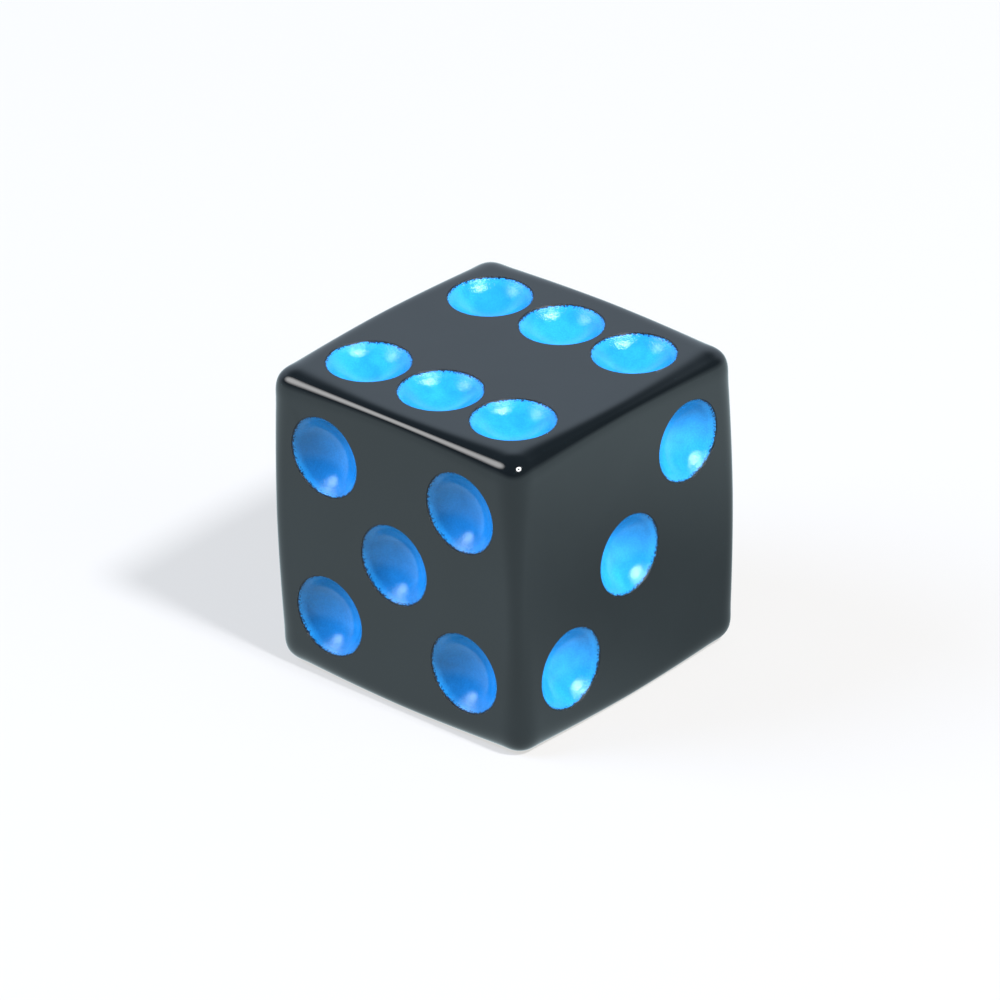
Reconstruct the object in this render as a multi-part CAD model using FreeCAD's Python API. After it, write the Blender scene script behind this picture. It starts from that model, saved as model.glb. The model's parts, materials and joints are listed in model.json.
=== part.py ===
import FreeCAD, Part
import os

# A casino die: one solid moulded cube with softened edges, a shallow spherical dimple
# for every pip, and a cured coat of paint in every dimple.
# The origin is the middle of the underside. +Z is up, through the six, -Y faces the
# five and +X faces the three, and opposite faces add up to seven.

# Driving dimensions, in millimetres.
CUBE_SIZE = 16.0  # between opposite faces
EDGE_RADIUS = 0.7  # rounding at the middle of an edge
CORNER_RADIUS = 1.1  # rounding where three edges meet
ROW_END_LAND = 1.25  # side of the cube to the last dimple in a row of three
CORNER_LAND = 1.52  # side of the cube to any other outer dimple
PIP_LAND = 0.38  # flat strip between neighbouring dimples in a row of three
PIP_DEPTH = 1.2  # lowest point of a dimple below its face
PAINT_THICKNESS = 0.08  # cured coat of paint
PAINT_RECESS = 0.05  # edge of the coat below the face

# Sizes that follow from them. Three dimples and their lands fill the width of the six.
half_cube = CUBE_SIZE / 2
pip_diameter = (CUBE_SIZE - 2 * ROW_END_LAND - 2 * PIP_LAND) / 3
pip_radius = pip_diameter / 2
row_pitch = pip_diameter + PIP_LAND
corner_offset = half_cube - CORNER_LAND - pip_radius
ball_radius = (pip_radius**2 + PIP_DEPTH**2) / (2 * PIP_DEPTH)

origin = FreeCAD.Vector(0, 0, 0)
x_axis = FreeCAD.Vector(1, 0, 0)
y_axis = FreeCAD.Vector(0, 1, 0)
z_axis = FreeCAD.Vector(0, 0, 1)


# Pips are laid out on a face that looks along its own +Z, with the middle at zero.
def diagonal(slope):
    return [(-corner_offset, -slope * corner_offset), (corner_offset, slope * corner_offset)]


def four_corners():
    return diagonal(1) + diagonal(-1)


def rows_of_three():
    columns = [-row_pitch, 0, row_pitch]
    return [(u, v) for v in (-corner_offset, corner_offset) for u in columns]


# Each face: yaw about Z after roll about X, in degrees, and where its pips are.
FACES = {
    "one": (0, 180, [(0, 0)]),
    "two": (180, 90, diagonal(-1)),
    "three": (90, 90, diagonal(1) + [(0, 0)]),
    "four": (270, 90, four_corners()),
    "five": (0, 90, four_corners() + [(0, 0)]),
    "six": (0, 0, rows_of_three()),
}


# One eighth of the cube, whose three outer edges grow rounder towards the corner.
def rounded_octant():
    box = Part.makeBox(half_cube, half_cube, half_cube)
    corner = Part.Vertex(half_cube, half_cube, half_cube)
    outer_edges = [edge for edge in box.Edges if edge.distToShape(corner)[0] < 1e-6]
    return box.makeFillet(EDGE_RADIUS, CORNER_RADIUS, outer_edges)


def rounded_cube():
    cube = rounded_octant()
    for normal in (x_axis, y_axis, z_axis):
        cube = cube.fuse(cube.mirror(origin, normal))
    return cube.removeSplitter()


# The ball that hollows a dimple, on a face at zero height. It is turned so that its
# seam and poles stay clear of the dimple.
def dimple_ball(radius):
    ball = Part.makeSphere(radius)
    ball.rotate(origin, y_axis, -90)
    ball.translate(z_axis * (ball_radius - PIP_DEPTH))
    return ball


# A coat lines its dimple evenly and stops a little below the rim.
def paint_coat():
    slab = Part.makeBox(pip_diameter, pip_diameter, PIP_DEPTH)
    slab.translate(FreeCAD.Vector(-pip_radius, -pip_radius, -PAINT_RECESS - PIP_DEPTH))
    return dimple_ball(ball_radius).common(slab).cut(dimple_ball(ball_radius - PAINT_THICKNESS))


# Where a pip at (u, v) lies on the finished die, which stands on its underside.
def pip_placement(yaw, roll, u, v):
    turn = FreeCAD.Rotation(yaw, 0, roll)
    on_face = turn.multVec(FreeCAD.Vector(u, v, half_cube))
    return FreeCAD.Placement(on_face + z_axis * half_cube, turn)


def pip_placements():
    places = {}
    for name, (yaw, roll, pips) in FACES.items():
        for number, (u, v) in enumerate(pips, start=1):
            places[f"{name}_pip_{number}"] = pip_placement(yaw, roll, u, v)
    return places


def placed(shape, placement):
    copy = shape.copy()
    copy.Placement = placement.multiply(shape.Placement)
    return copy


def cube_body(places):
    cube = rounded_cube()
    cube.translate(z_axis * half_cube)
    ball = dimple_ball(ball_radius)
    return cube.cut([placed(ball, placement) for placement in places.values()])


os.makedirs("parts", exist_ok=True)
places = pip_placements()
cube_body(places).exportStep("parts/cube_body.step")
coat = paint_coat()
for node, placement in places.items():
    placed(coat, placement).exportStep(f"parts/{node}.step")
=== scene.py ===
import json
import math
import bmesh
import bpy
from mathutils import Matrix, Vector, noise

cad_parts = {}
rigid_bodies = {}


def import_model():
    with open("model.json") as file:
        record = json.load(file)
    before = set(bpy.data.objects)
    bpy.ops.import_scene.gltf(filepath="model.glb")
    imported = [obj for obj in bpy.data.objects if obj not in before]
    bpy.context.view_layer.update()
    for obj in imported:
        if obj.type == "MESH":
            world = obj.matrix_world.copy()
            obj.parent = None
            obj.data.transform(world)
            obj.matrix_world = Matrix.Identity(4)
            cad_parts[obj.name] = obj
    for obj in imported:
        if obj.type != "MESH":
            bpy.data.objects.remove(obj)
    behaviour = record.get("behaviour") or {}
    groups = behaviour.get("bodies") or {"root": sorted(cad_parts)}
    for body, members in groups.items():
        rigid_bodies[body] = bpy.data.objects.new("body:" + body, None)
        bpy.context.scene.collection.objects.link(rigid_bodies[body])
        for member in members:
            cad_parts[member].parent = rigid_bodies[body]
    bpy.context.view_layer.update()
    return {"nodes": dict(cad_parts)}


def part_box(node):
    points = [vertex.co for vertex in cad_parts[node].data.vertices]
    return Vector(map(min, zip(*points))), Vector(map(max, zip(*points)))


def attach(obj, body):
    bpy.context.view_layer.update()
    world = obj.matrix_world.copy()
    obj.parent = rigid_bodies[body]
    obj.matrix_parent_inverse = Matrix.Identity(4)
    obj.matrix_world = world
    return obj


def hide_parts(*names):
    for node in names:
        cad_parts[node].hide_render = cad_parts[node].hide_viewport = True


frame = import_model()
mm = 0.001  # shapes are made in millimetres and end in the frame's metres
coatNodes = sorted(name for name in frame["nodes"] if "_pip_" in name)
bodyLow, bodyHigh = (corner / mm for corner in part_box("cube_body"))
dieCentre = (bodyLow + bodyHigh) / 2
halfDie = (bodyHigh.x - bodyLow.x) / 2


def pipPlace(node):
    low, high = (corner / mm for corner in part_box(node))
    span = high - low
    axis = min(range(3), key=lambda i: span[i])  # a coat is thinnest through its face
    middle = (low + high) / 2 - dieCentre
    outward = Vector((0, 0, 0))
    outward[axis] = math.copysign(1, middle[axis])
    mouth = middle.copy()
    mouth[axis] = outward[axis] * halfDie
    turn = outward.to_track_quat("Z", "Y").to_matrix().to_4x4()
    return Matrix.Translation(mouth + dieCentre) @ turn


def dishFacts(node):
    low, high = (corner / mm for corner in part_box(node))
    place = pipPlace(node).inverted()
    a, b = place @ low, place @ high
    drop, depth = -max(a.z, b.z), -min(a.z, b.z)
    paintRadius = abs(a.x - b.x) / 2
    rise = depth - drop
    ball = (paintRadius**2 + rise**2) / (2 * rise)
    return {"depth": depth, "ball": ball, "paintDrop": drop, "paintRadius": paintRadius}


dish = dishFacts("one_pip_1")
pipPlaces = {node: pipPlace(node) for node in coatNodes}
print("pips found:", len(pipPlaces), {k: round(v, 3) for k, v in dish.items()})


def meshObject(name, bm):
    mesh = bpy.data.meshes.new(name)
    bm.to_mesh(mesh)
    bm.free()
    mesh.shade_smooth()
    obj = bpy.data.objects.new(name, mesh)
    bpy.context.scene.collection.objects.link(obj)
    return obj


def settled(obj):  # the object with its modifiers worked into its mesh
    bpy.context.view_layer.update()
    shown = obj.evaluated_get(bpy.context.evaluated_depsgraph_get())
    mesh = bpy.data.meshes.new_from_object(shown)
    obj.modifiers.clear()
    obj.data = mesh
    return obj


def turnedShape(points, steps):  # a profile of (radius, height) points spun about Z
    bm = bmesh.new()
    row = [bm.verts.new((radius, 0, height)) for radius, height in points]
    for a, b in zip(row, row[1:]):
        bm.edges.new((a, b))
    bmesh.ops.spin(bm, geom=bm.verts[:] + bm.edges[:], cent=(0, 0, 0), axis=(0, 0, 1),
                   angle=2 * math.pi, steps=steps, use_merge=True)
    bmesh.ops.remove_doubles(bm, verts=bm.verts[:], dist=1e-5)
    bmesh.ops.recalc_face_normals(bm, faces=bm.faces[:])
    return bm


cubeShape = {
    "edgeReach": 0.92,  # how far the rounding starts from a sharp edge
    "cornerReach": 1.48,
    "growth": 1.8,  # how late the rounding grows from the middle of an edge to its end
    "squareness": 0.63,  # 0.5 is a round edge, more is tighter in its middle
    "edgeCuts": 31,
    "inwardShare": 0.999,  # a point nearer the middle than this isn't a corner
    "cornerRoom": 1.04,  # clear length beside a corner, in corner reaches
    "roundSegments": 18,
    "rimRadius": 0.005,  # softened lip of each dimple
    "rimSteps": 5,
    "dishSteps": 14,
    "aroundSteps": 96,
    "toolHeight": 0.4,  # how far the cutting tool stands out of the face
    "toolFlare": 0.1,  # how much wider it is there, in rim radii
    "wallMargin": 0.2,  # a dish's wall reaches this far past its paint
    "wallTop": 0.001,  # the wall starts this far below the face
}


def roundedBlock(s):
    bm = bmesh.new()
    bmesh.ops.create_cube(bm, size=2 * halfDie)
    bmesh.ops.subdivide_edges(bm, edges=bm.edges[:], cuts=s["edgeCuts"])
    # the cuts keep clear of the corners, where three roundings meet
    clear = halfDie - s["cornerReach"] * s["cornerRoom"]
    spread = clear / halfDie * (s["edgeCuts"] + 1) / (s["edgeCuts"] - 1)
    inward = halfDie * s["inwardShare"]
    for v in bm.verts:
        axis = min(range(3), key=lambda i: abs(v.co[i]))
        if abs(v.co[axis]) < inward:
            v.co[axis] *= spread
    weights = bm.edges.layers.float.new("bevel_weight_edge")
    least = s["edgeReach"] / s["cornerReach"]
    for edge in bm.edges:
        middle = (edge.verts[0].co + edge.verts[1].co) / 2
        along = min(1.0, min(abs(x) for x in middle) / clear)
        edge[weights] = least + (1 - least) * along ** s["growth"]
    bmesh.ops.translate(bm, verts=bm.verts[:], vec=dieCentre)
    block = meshObject("cubeBody", bm)
    rounding = block.modifiers.new("rounding", "BEVEL")
    rounding.limit_method = "WEIGHT"
    rounding.width = s["cornerReach"]
    rounding.segments = s["roundSegments"]
    rounding.profile = s["squareness"]
    rounding.use_clamp_overlap = False
    return settled(block)


def dishProfile(s):
    # the dish is a ball, and its lip a small arc that touches the ball and the flat face
    ball, depth, rim = dish["ball"], dish["depth"], s["rimRadius"]
    lipX = math.sqrt((ball + rim) ** 2 - (ball - depth + rim) ** 2)
    slope = math.asin(lipX / (ball + rim))
    points = []
    for i in range(s["dishSteps"] + 1):
        a = slope * i / s["dishSteps"]
        points.append((ball * math.sin(a), ball - depth - ball * math.cos(a)))
    for i in range(1, s["rimSteps"]):
        a = slope * (1 - i / s["rimSteps"])
        points.append((lipX - rim * math.sin(a), rim * math.cos(a) - rim))
    flare = rim * s["toolFlare"]
    outer = lipX + flare
    points += [(outer, flare), (outer, s["toolHeight"]), (0, s["toolHeight"])]
    return points


def dishTool(s):
    one = turnedShape(dishProfile(s), s["aroundSteps"])
    source = one.verts[:] + one.edges[:] + one.faces[:]
    for place in pipPlaces.values():
        copy = bmesh.ops.duplicate(one, geom=source)["geom"]
        verts = [g for g in copy if isinstance(g, bmesh.types.BMVert)]
        bmesh.ops.transform(one, matrix=place, verts=verts)
    first = [g for g in source if isinstance(g, bmesh.types.BMVert)]
    bmesh.ops.delete(one, geom=first, context="VERTS")
    return meshObject("dishTool", one)


def markWalls(block, s):
    # 1 on the bare walls of the dishes, 0 on the faces and the rounding
    wall = block.data.attributes.new("dishWall", "FLOAT", "POINT")
    inward = [place.inverted() for place in pipPlaces.values()]
    widest = dish["paintRadius"] + s["wallMargin"]
    lowest = -dish["depth"] - s["wallMargin"]

    def inDish(spot):
        return lowest < spot.z < -s["wallTop"] and math.hypot(spot.x, spot.y) < widest

    for vert, share in zip(block.data.vertices, wall.data):
        share.value = float(any(inDish(turn @ vert.co) for turn in inward))


def makeCube(s):
    block = roundedBlock(s)
    tool = dishTool(s)
    cut = block.modifiers.new("dishes", "BOOLEAN")
    cut.operation = "DIFFERENCE"
    cut.solver = "EXACT"
    cut.object = tool
    settled(block)
    bpy.data.objects.remove(tool)
    markWalls(block, s)
    block.data.transform(Matrix.Scale(mm, 4))
    shading = block.modifiers.new("flatFaces", "WEIGHTED_NORMAL")
    shading.mode = "FACE_AREA"
    shading.weight = 100
    return settled(block)


cubeBody = makeCube(cubeShape)
print("cube body:", len(cubeBody.data.polygons), "faces")


coatShape = {
    "thickness": 0.08,
    "lip": 0.34,  # width over which the coat thins to its edge
    "lipSteps": 8,
    "edgeShare": 0.15,  # thickness left at the very edge, as a share of the whole
    "topSteps": 20,
    "underSteps": 8,
    "aroundSteps": 180,
    "waver": 0.018,  # how far the edge wanders along the wall
    "waverSize": 0.55,
    "nibble": 0.022,
    "nibbleSize": 0.11,
    "fade": 0.35,  # how far down the wall the wandering reaches
    "wanderRoom": 0.4,  # how much of the waver the edge is set back by
    "seedStep": 7.3,  # gives each coat an edge of its own
    "sink": 0.002,  # the underside clears the cube by this much
}


def coatProfile(s):
    ball = dish["ball"] - s["sink"]
    centre = dish["ball"] - dish["depth"]
    setBack = s["waver"] * s["wanderRoom"] / dish["ball"]
    edge = math.asin(dish["paintRadius"] / dish["ball"]) - setBack
    lip = s["lip"] / ball
    top = ball - s["thickness"]

    def at(radius, angle):
        return (radius * math.sin(angle), centre - radius * math.cos(angle))

    points = [at(top, (edge - lip) * i / s["topSteps"]) for i in range(s["topSteps"] + 1)]
    for i in range(1, s["lipSteps"] + 1):
        t = i / s["lipSteps"]
        thinned = s["thickness"] * (1 - s["edgeShare"]) * t
        points.append(at(top + thinned, edge - lip * (1 - t)))
    points += [at(ball, edge * i / s["underSteps"]) for i in range(s["underSteps"], -1, -1)]
    return points


def makeCoat(node, s, number):
    bm = turnedShape(coatProfile(s), s["aroundSteps"])
    rimShare = bm.verts.layers.float.new("rimShare")
    centre = Vector((0, 0, dish["ball"] - dish["depth"]))
    edge = math.asin(dish["paintRadius"] / dish["ball"])
    for v in bm.verts:
        arm = v.co - centre
        angle = math.atan2(math.hypot(arm.x, arm.y), -arm.z)
        v[rimShare] = angle / edge
        share = max(0.0, 1 - (edge - angle) * dish["ball"] / s["fade"])
        if share == 0 or angle == 0:
            continue
        spot = Vector((v.co.x, v.co.y, 0)).normalized() * dish["paintRadius"]
        seed = Vector((0, 0, s["seedStep"] * number))
        shift = s["waver"] * noise.noise(spot / s["waverSize"] + seed)
        shift -= s["nibble"] * abs(noise.noise(spot / s["nibbleSize"] + seed * 2))
        side = Vector((arm.y, -arm.x, 0)).normalized()
        turn = Matrix.Rotation(-share * shift / dish["ball"], 3, side)
        v.co = centre + turn @ arm
    bmesh.ops.transform(bm, matrix=Matrix.Scale(mm, 4) @ pipPlaces[node], verts=bm.verts[:])
    return meshObject(node.replace("_pip_", "PipPaint"), bm)


coats = {node: makeCoat(node, coatShape, i) for i, node in enumerate(coatNodes)}
print("paint coats:", len(coats))


def newGroup(name, inputs, outputs):
    group = bpy.data.node_groups.new(name, "ShaderNodeTree")
    for label, value in inputs.items():
        socket = group.interface.new_socket(name=label, in_out="INPUT", socket_type="NodeSocketFloat")
        socket.default_value = value
    for label in outputs:
        group.interface.new_socket(name=label, in_out="OUTPUT", socket_type="NodeSocketFloat")
    return group


def addNode(tree, kind, settings=None, **inputs):
    node = tree.nodes.new(kind)
    for key, value in (settings or {}).items():
        setattr(node, key, value)
    for key, value in inputs.items():
        node.inputs[key.replace("_", " ")].default_value = value
    return node


grain = {
    "sizes": {"Mark Size": 0.0012, "Smudge Size": 0.006},  # each material sets its own
    "marks": {"Detail": 4.0, "Roughness": 0.6},
    "smudge": {"Detail": 3.0, "Roughness": 0.5, "Distortion": 0.6},
    "middle": (0.35, 0.65),  # values between which half or more of a noise lies
    "spread": (0.3, 0.7),
}


def handlingGroup(s):
    # fine marks and soft smudges, both from place on the piece
    group = newGroup("handlingMarks", s["sizes"], ["Marks", "Smudge"])
    n, link = group, group.links.new
    start, end = n.nodes.new("NodeGroupInput"), n.nodes.new("NodeGroupOutput")
    coords = addNode(n, "ShaderNodeTexCoord")
    markScale = addNode(n, "ShaderNodeMath", {"operation": "DIVIDE"})
    markScale.inputs[0].default_value = 1.0
    smudgeScale = addNode(n, "ShaderNodeMath", {"operation": "DIVIDE"})
    smudgeScale.inputs[0].default_value = 1.0
    link(start.outputs["Mark Size"], markScale.inputs[1])
    link(start.outputs["Smudge Size"], smudgeScale.inputs[1])
    marks = addNode(n, "ShaderNodeTexNoise", **s["marks"])
    smudge = addNode(n, "ShaderNodeTexNoise", **s["smudge"])
    link(coords.outputs["Object"], marks.inputs["Vector"])
    link(coords.outputs["Object"], smudge.inputs["Vector"])
    link(markScale.outputs[0], marks.inputs["Scale"])
    link(smudgeScale.outputs[0], smudge.inputs["Scale"])
    link(marks.outputs["Fac"], end.inputs["Marks"])
    link(smudge.outputs["Fac"], end.inputs["Smudge"])
    return group


handling = handlingGroup(grain)


def newMaterial(name):
    material = bpy.data.materials.new(name)
    material.use_nodes = True
    return material, material.node_tree, material.node_tree.nodes["Principled BSDF"]


def mapRange(tree, source, low, high, toLow, toHigh, smooth=False):
    node = addNode(tree, "ShaderNodeMapRange")
    if smooth:
        node.interpolation_type = "SMOOTHSTEP"
    for key, value in {"From Min": low, "From Max": high, "To Min": toLow, "To Max": toHigh}.items():
        node.inputs[key].default_value = value
    tree.links.new(source, node.inputs["Value"])
    return node.outputs["Result"]


def times(tree, first, second):
    node = addNode(tree, "ShaderNodeMath", {"operation": "MULTIPLY"})
    tree.links.new(first, node.inputs[0])
    tree.links.new(second, node.inputs[1])
    return node.outputs[0]


def colourBetween(tree, factor, first, second):
    node = addNode(tree, "ShaderNodeMix", {"data_type": "RGBA"})
    node.inputs["A"].default_value = first
    node.inputs["B"].default_value = second
    tree.links.new(factor, node.inputs["Factor"])
    return node.outputs["Result"]


resin = {
    "dark": (0.0013, 0.0023, 0.0030, 1),
    "light": (0.0020, 0.0032, 0.0040, 1),
    "ior": 1.5,
    "roughness": (0.075, 0.115),
    "wallRoughness": 0.6,
    "markSize": 0.00045,
    "smudgeSize": 0.005,
    "bump": 0.02,
    "bumpHeight": 0.00001,
}


def resinMaterial(s):
    material, tree, shader = newMaterial("blackResin")
    marks = addNode(tree, "ShaderNodeGroup", {"node_tree": handling})
    marks.inputs["Mark Size"].default_value = s["markSize"]
    marks.inputs["Smudge Size"].default_value = s["smudgeSize"]
    shade = mapRange(tree, marks.outputs["Smudge"], *grain["middle"], 0, 1)
    tree.links.new(colourBetween(tree, shade, s["dark"], s["light"]), shader.inputs["Base Color"])
    rough = mapRange(tree, marks.outputs["Smudge"], *grain["spread"], *s["roughness"])
    wall = addNode(tree, "ShaderNodeAttribute", {"attribute_name": "dishWall"})
    wallRough = mapRange(tree, wall.outputs["Fac"], 0, 1, 0, s["wallRoughness"])
    roughest = addNode(tree, "ShaderNodeMath", {"operation": "MAXIMUM"})
    tree.links.new(rough, roughest.inputs[0])
    tree.links.new(wallRough, roughest.inputs[1])
    tree.links.new(roughest.outputs[0], shader.inputs["Roughness"])
    bump = addNode(tree, "ShaderNodeBump", Strength=s["bump"], Distance=s["bumpHeight"])
    tree.links.new(marks.outputs["Marks"], bump.inputs["Height"])
    tree.links.new(bump.outputs["Normal"], shader.inputs["Normal"])
    shader.inputs["IOR"].default_value = s["ior"]
    return material


enamel = {
    "deep": (0.009, 0.174, 0.44, 1),
    "bright": (0.014, 0.222, 0.55, 1),
    "bare": (0.003, 0.018, 0.06, 1),  # where the film is thin near its edge
    "ior": 1.5,
    "tint": (0.75, 0.95, 1.0, 1),
    "roughness": (0.07, 0.17),
    "markSize": 0.000085,
    "smudgeSize": 0.0014,
    "thinFrom": 0.84,
    "thinMost": 0.55,
    "thinBand": (0.95, 1.02),
    "pittedFrom": (0.6, 0.08),  # where the pits begin, and how deep they are there
    "mottle": 0.16,  # how much darker the fine spots of the paint are
    "bumpHeight": 0.000026,
}


def enamelMaterial(s):
    material, tree, shader = newMaterial("blueEnamel")
    marks = addNode(tree, "ShaderNodeGroup", {"node_tree": handling})
    marks.inputs["Mark Size"].default_value = s["markSize"]
    marks.inputs["Smudge Size"].default_value = s["smudgeSize"]
    shade = mapRange(tree, marks.outputs["Smudge"], *grain["middle"], 0, 1)
    paint = colourBetween(tree, shade, s["deep"], s["bright"])
    rim = addNode(tree, "ShaderNodeAttribute", {"attribute_name": "rimShare"})
    nearRim = mapRange(tree, rim.outputs["Fac"], s["thinFrom"], 1.0, 0, s["thinMost"])
    speck = addNode(tree, "ShaderNodeMath", {"operation": "ADD"})
    tree.links.new(nearRim, speck.inputs[0])
    tree.links.new(marks.outputs["Marks"], speck.inputs[1])
    thin = mapRange(tree, speck.outputs[0], *s["thinBand"], 0, 1)
    mixed = addNode(tree, "ShaderNodeMix", {"data_type": "RGBA"})
    tree.links.new(thin, mixed.inputs["Factor"])
    tree.links.new(paint, mixed.inputs["A"])
    mixed.inputs["B"].default_value = s["bare"]
    spots = mapRange(tree, marks.outputs["Marks"], *grain["middle"], 1 - s["mottle"], 1)
    mottled = addNode(tree, "ShaderNodeVectorMath", {"operation": "SCALE"})
    tree.links.new(mixed.outputs["Result"], mottled.inputs[0])
    tree.links.new(spots, mottled.inputs["Scale"])
    tree.links.new(mottled.outputs[0], shader.inputs["Base Color"])
    rough = mapRange(tree, marks.outputs["Marks"], *grain["spread"], *s["roughness"])
    tree.links.new(rough, shader.inputs["Roughness"])
    pitFrom, pitLeast = s["pittedFrom"]
    pitted = mapRange(tree, rim.outputs["Fac"], pitFrom, 1, pitLeast, 1)
    bump = addNode(tree, "ShaderNodeBump", Distance=s["bumpHeight"])
    tree.links.new(times(tree, marks.outputs["Marks"], pitted), bump.inputs["Height"])
    tree.links.new(bump.outputs["Normal"], shader.inputs["Normal"])
    shader.inputs["IOR"].default_value = s["ior"]
    shader.inputs["Specular Tint"].default_value = s["tint"]
    return material


def dress(obj, material):
    obj.data.materials.clear()
    obj.data.materials.append(material)


dress(cubeBody, resinMaterial(resin))
blueEnamel = enamelMaterial(enamel)
for coat in coats.values():
    dress(coat, blueEnamel)
print("finishes done")


camera = {
    "azimuth": 42.427,
    "elevation": 28.739,
    "roll": -1.394,
    "distance": 0.42815,
    "slideRight": -0.000242,
    "slideUp": 0.000168,
    "lens": 318.88,
    "sensor": 36,
    "clip": (0.01, 20),
}


def viewAxes(azimuth, elevation):
    a, e = math.radians(azimuth), math.radians(elevation)
    right = Vector((math.cos(a), math.sin(a), 0))
    back = Vector((math.sin(a) * math.cos(e), -math.cos(a) * math.cos(e), math.sin(e)))
    return right, back.cross(right), back


def makeCamera(s):
    right, up, back = viewAxes(s["azimuth"], s["elevation"])
    data = bpy.data.cameras.new("camera")
    data.lens = s["lens"]
    data.sensor_width = s["sensor"]
    data.clip_start, data.clip_end = s["clip"]
    obj = bpy.data.objects.new("camera", data)
    bpy.context.scene.collection.objects.link(obj)
    place = dieCentre * mm + back * s["distance"] + right * s["slideRight"] + up * s["slideUp"]
    roll = math.radians(s["roll"])
    rightRolled = right * math.cos(roll) + up * math.sin(roll)
    upRolled = up * math.cos(roll) - right * math.sin(roll)
    turn = Matrix((rightRolled, upRolled, back)).transposed().to_4x4()
    obj.matrix_world = Matrix.Translation(place) @ turn
    bpy.context.scene.camera = obj


makeCamera(camera)


studio = {
    "worldColour": (0.15, 0.18, 0.21, 1),
    "horizonColour": (0.62, 0.76, 0.82, 1),
    "horizonRise": (-0.02, 0.30),
    "sheetColour": (0.73, 0.87, 1.02, 1),  # the pale sheet that rises behind the die
    "sheetRise": (0.52, 0.80),  # sines of the heights between which it fades out
    "sheetSide": (0.10, 0.55),
    "floorGlow": 0.62,
    "floorTint": (1, 0.985, 0.955, 1),
    "floorColour": (0.115, 0.115, 0.118, 1),
    "floorSize": 3.0,
    "floorRoughness": 0.9,
    "gleamDrop": -0.0005,  # the plane that reflections see lies just under the floor
    "gleamColour": (0.87, 1.07, 1.14, 1),  # the floor as reflections see it
    "gleamDip": 0.54,  # painted shadow of the die: how much of it is left beside the die, away from the fill light
    "gleamDipPlace": (0.016, -0.001, 0),
    "gleamDipReach": (0.002, 0.020),
    "gleamEnd": 0.75,
    "gleamReach": (0.06, 0.60),
    # directions are right of, away from and above the line that the camera looks along
    "lampDistance": 1.2,
    "cardCore": 0.35,  # share of a plain card's radius that glows in full
    "cardSides": 64,
    "keyLamp": {"direction": (0.55, -0.545, 1.0), "angle": 8.0, "white": 2.8, "colour": (1, 1, 1)},
    "fillLamp": {"direction": (-0.80, 0.0, 0.60), "angle": 38.0, "white": 1.35,
                 "colour": (0.8, 1.06, 1.5)},
    "sideLamp": {"direction": (0.80, -0.50, 0.30), "angle": 50.0, "white": 0.75,
                 "colour": (1, 1, 1.1)},
    "keyCard": {"direction": (0.446, -0.507, 0.743), "angle": 26.0, "hole": 0.45, "glow": 42.0},
    "fillCard": {"direction": (-0.80, 0.0, 0.60), "angle": 38.0, "hole": 0, "glow": 8.5},
}


def emitter(name, strength, colour=(1, 1, 1, 1)):
    material = bpy.data.materials.new(name)
    material.use_nodes = True
    tree = material.node_tree
    tree.nodes.clear()
    glow = addNode(tree, "ShaderNodeEmission", Strength=strength, Color=colour)
    out = tree.nodes.new("ShaderNodeOutputMaterial")
    tree.links.new(glow.outputs[0], out.inputs["Surface"])
    return material, tree, glow


def worldDirection(rightAwayUp):
    right, up, back = viewAxes(camera["azimuth"], 0)
    r, away, u = rightAwayUp
    return (right * r - back * away + Vector((0, 0, 1)) * u).normalized()


def facing(obj, rightAwayUp):  # puts it at the lamps' distance, turned to the die
    toward = worldDirection(rightAwayUp)
    turn = toward.to_track_quat("Z", "Y").to_matrix().to_4x4()
    obj.matrix_world = Matrix.Translation(dieCentre * mm + toward * studio["lampDistance"]) @ turn


def lampCard(name, card):
    # a round glowing card that only reflections see, a ring if it has a hole
    radius = studio["lampDistance"] * math.tan(math.radians(card["angle"] / 2))
    bm = bmesh.new()
    bmesh.ops.create_circle(bm, cap_ends=True, radius=radius, segments=studio["cardSides"])
    if card["hole"]:
        rim = radius * (1 - card["hole"])
        bmesh.ops.inset_region(bm, faces=bm.faces[:], thickness=rim, use_boundary=True,
                               use_even_offset=True)
        middle = [f for f in bm.faces if len(f.verts) > 4]
        bmesh.ops.delete(bm, geom=middle, context="FACES")
    obj = meshObject(name, bm)
    facing(obj, card["direction"])
    material, tree, glow = emitter(name, card["glow"])
    if not card["hole"]:
        coords = addNode(tree, "ShaderNodeTexCoord")
        length = addNode(tree, "ShaderNodeVectorMath", {"operation": "LENGTH"})
        tree.links.new(coords.outputs["Object"], length.inputs[0])
        core = radius * studio["cardCore"]
        fade = mapRange(tree, length.outputs["Value"], core, radius, card["glow"], 0)
        tree.links.new(fade, glow.inputs["Strength"])
    material.cycles.emission_sampling = "NONE"
    obj.data.materials.append(material)
    obj.visible_camera = False
    obj.visible_diffuse = False
    obj.visible_shadow = False


def lamp(name, facts):  # lights the paint and the floor, and isn't seen in the gloss
    radius = studio["lampDistance"] * math.tan(math.radians(facts["angle"] / 2))
    light = bpy.data.lights.new(name, "AREA")
    light.shape = "DISK"
    light.size = 2 * radius
    light.color = facts["colour"]
    # white is how bright the lamp makes a white sheet that faces it
    light.energy = facts["white"] * math.pi**2 * studio["lampDistance"] ** 2
    obj = bpy.data.objects.new(name, light)
    facing(obj, facts["direction"])
    obj.visible_glossy = False
    obj.visible_camera = False
    bpy.context.scene.collection.objects.link(obj)


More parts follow.
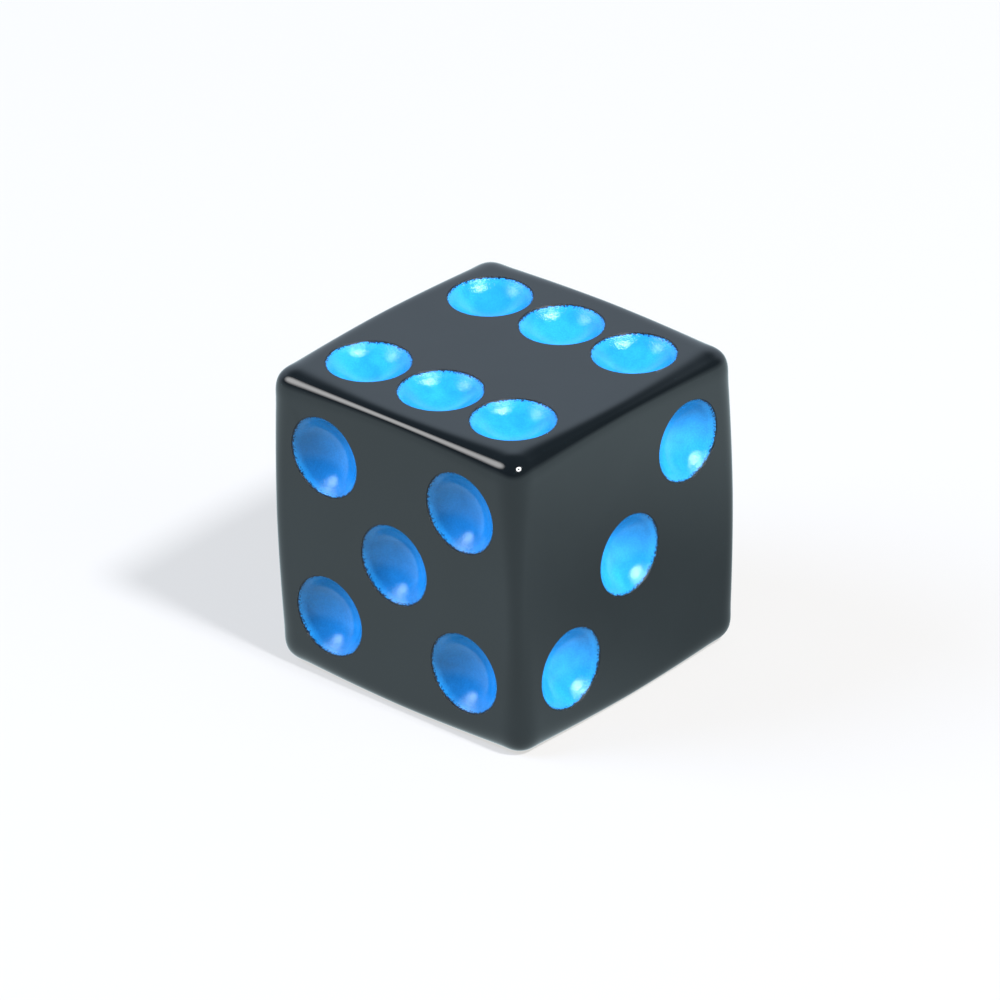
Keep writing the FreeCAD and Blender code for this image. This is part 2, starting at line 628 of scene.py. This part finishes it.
def worldLight(s):
    world = bpy.data.worlds.new("studio")
    world.use_nodes = True
    bpy.context.scene.world = world
    tree = world.node_tree
    right, up, back = viewAxes(camera["azimuth"], 0)
    coords = addNode(tree, "ShaderNodeTexCoord")
    away = addNode(tree, "ShaderNodeVectorMath", {"operation": "DOT_PRODUCT"})
    away.inputs[1].default_value = -back
    height = addNode(tree, "ShaderNodeSeparateXYZ")
    tree.links.new(coords.outputs["Generated"], away.inputs[0])
    tree.links.new(coords.outputs["Generated"], height.inputs[0])
    rise = mapRange(tree, height.outputs["Z"], *s["sheetRise"], 1, 0, smooth=True)
    side = mapRange(tree, away.outputs["Value"], *s["sheetSide"], 0, 1, smooth=True)
    sheet = times(tree, rise, side)
    low = mapRange(tree, height.outputs["Z"], *s["horizonRise"], 1, 0, smooth=True)
    room = colourBetween(tree, low, s["worldColour"], s["horizonColour"])
    colour = colourBetween(tree, sheet, s["worldColour"], s["sheetColour"])
    tree.links.new(room, colour.node.inputs["A"])
    tree.links.new(colour, tree.nodes["Background"].inputs["Color"])


def floorPlane(name, size, height):
    bm = bmesh.new()
    bmesh.ops.create_grid(bm, x_segments=1, y_segments=1, size=size / 2)
    plane = meshObject(name, bm)
    turn = Matrix.Rotation(math.radians(camera["azimuth"]), 4, "Z")
    plane.matrix_world = Matrix.Translation((0, 0, height)) @ turn
    return plane


def makeFloor(s):
    floor = floorPlane("floor", s["floorSize"], 0)
    material, tree, shader = newMaterial("paleFloor")
    shader.inputs["Base Color"].default_value = s["floorColour"]
    shader.inputs["Roughness"].default_value = s["floorRoughness"]
    shader.inputs["Specular IOR Level"].default_value = 0.0
    shader.inputs["Emission Color"].default_value = s["floorTint"]
    shader.inputs["Emission Strength"].default_value = s["floorGlow"]
    floor.data.materials.append(material)
    floor.visible_glossy = False


def makeGleam(s):
    # what the gloss of the die sees of the floor, with painted shade in its glow: paler behind, a
    # painted shadow beside the die and painted dimming far off
    gleam = floorPlane("floorGleam", s["floorSize"], s["gleamDrop"])
    material, tree, glow = emitter("floorGleam", 1.0)
    material.cycles.emission_sampling = "NONE"
    coords = addNode(tree, "ShaderNodeTexCoord")
    fromDip = addNode(tree, "ShaderNodeVectorMath", {"operation": "DISTANCE"})
    fromDip.inputs[1].default_value = s["gleamDipPlace"]
    tree.links.new(coords.outputs["Object"], fromDip.inputs[0])
    # painted shadow: the glow is darker beside the die, where the die hides the fill light
    dip = mapRange(tree, fromDip.outputs["Value"], *s["gleamDipReach"], s["gleamDip"], 1, smooth=True)
    front = addNode(tree, "ShaderNodeVectorMath", {"operation": "MINIMUM"})
    front.inputs[1].default_value = (s["floorSize"], 0, s["floorSize"])  # cuts off what lies behind
    tree.links.new(coords.outputs["Object"], front.inputs[0])
    length = addNode(tree, "ShaderNodeVectorMath", {"operation": "LENGTH"})
    tree.links.new(front.outputs[0], length.inputs[0])
    # painted dimming: the glow fades far off in front of the die
    far = mapRange(tree, length.outputs["Value"], *s["gleamReach"], 1, s["gleamEnd"], smooth=True)
    glow.inputs["Color"].default_value = s["gleamColour"]
    tree.links.new(times(tree, dip, far), glow.inputs["Strength"])
    gleam.data.materials.append(material)
    gleam.visible_camera = False
    gleam.visible_diffuse = False
    gleam.visible_shadow = False


def makeStudio(s):
    worldLight(s)
    makeFloor(s)
    makeGleam(s)
    for name in ("keyLamp", "fillLamp", "sideLamp"):
        lamp(name, s[name])
    for name in ("keyCard", "fillCard"):
        lampCard(name, s[name])


makeStudio(studio)
bpy.context.scene.view_settings.view_transform = "Standard"
print("studio done")

for node, coat in coats.items():
    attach(coat, "root")
    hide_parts(node)
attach(cubeBody, "root")
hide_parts("cube_body")
